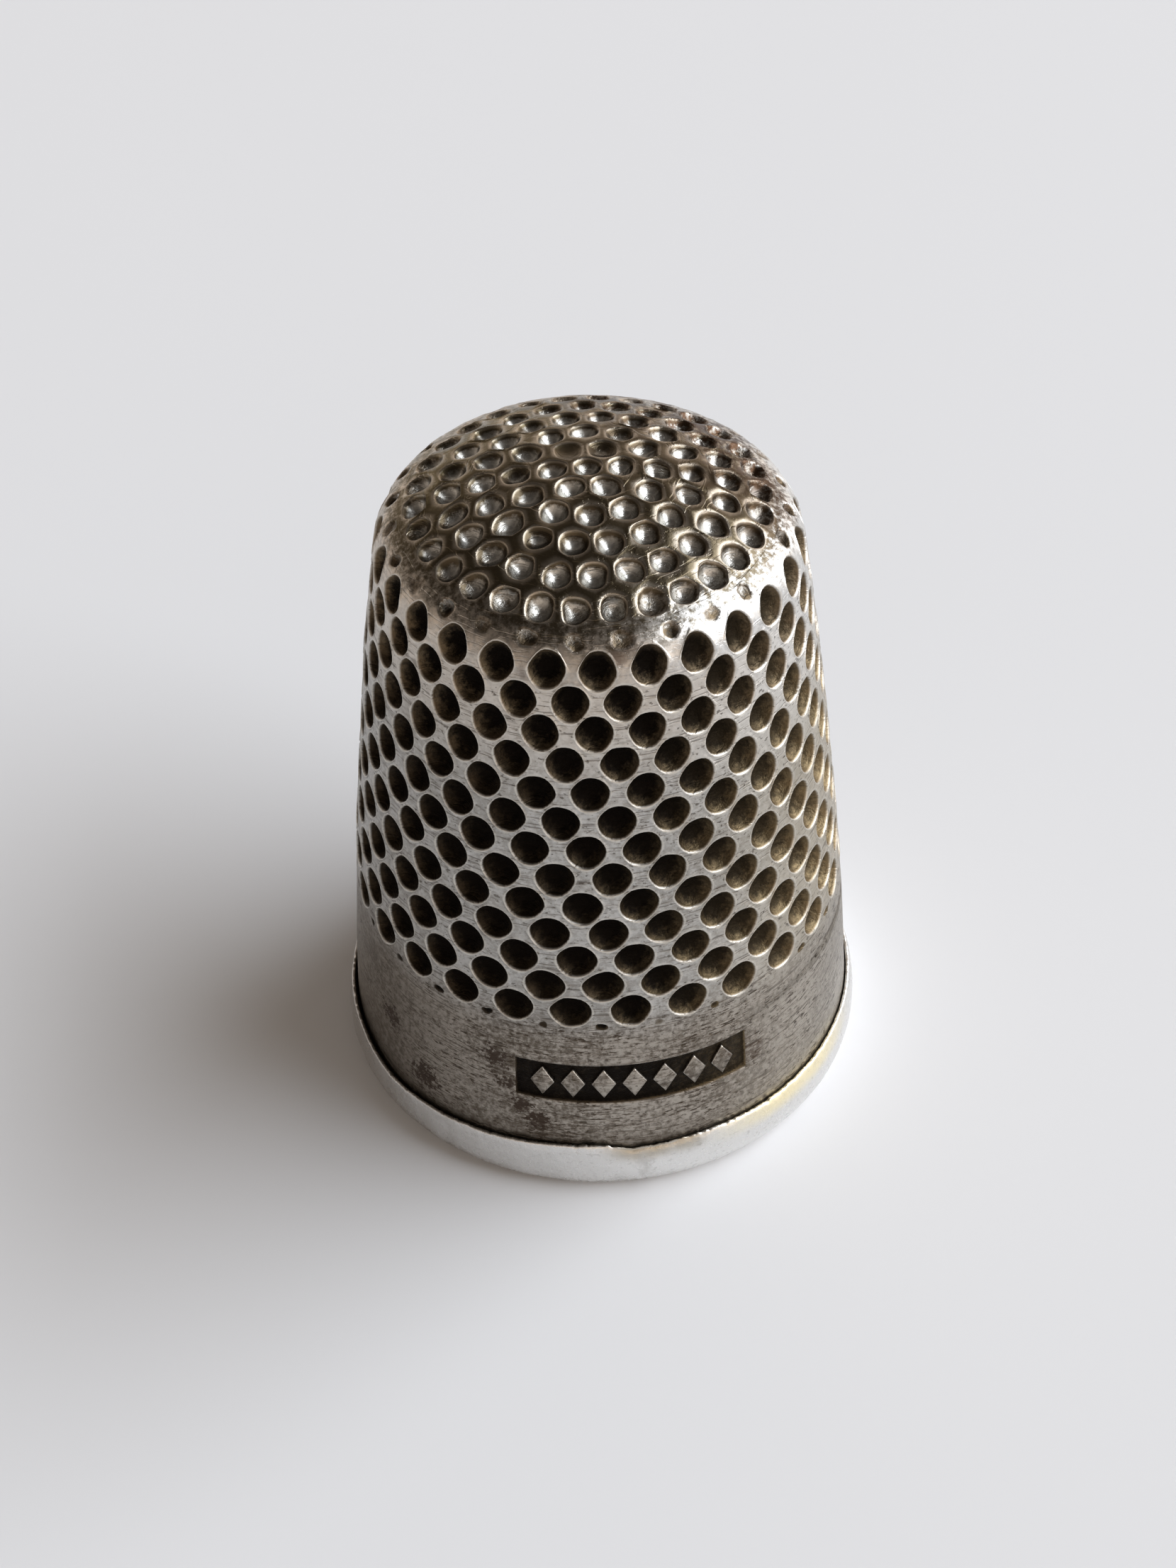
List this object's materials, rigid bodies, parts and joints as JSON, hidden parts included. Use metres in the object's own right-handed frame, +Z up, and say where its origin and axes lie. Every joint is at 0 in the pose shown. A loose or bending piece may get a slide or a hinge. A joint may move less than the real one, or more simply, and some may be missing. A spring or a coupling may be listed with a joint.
{
  "type": "thimble",
  "caption": "Lined metal sewing thimble: knurled domed steel cup with a bright lining rolled out at the mouth to form the rim.",
  "frame": {"origin": "on the axis, in the plane of the foot that the rim stands on", "axes": "+Z up along the axis, from the open mouth to the closed crown; the sunk panel is at the front, facing -Y"},
  "size_m": [0.0188, 0.0188, 0.0248],
  "materials": {
    "shell_steel": "worn nickel-grey steel, tarnished in the pits and round the crown",
    "lining_metal": "soft satin silver-white"
  },
  "bodies": {
    "root": {"outer_shell": "shell_steel", "lining_cup": "lining_metal"}
  },
  "joints": []
}
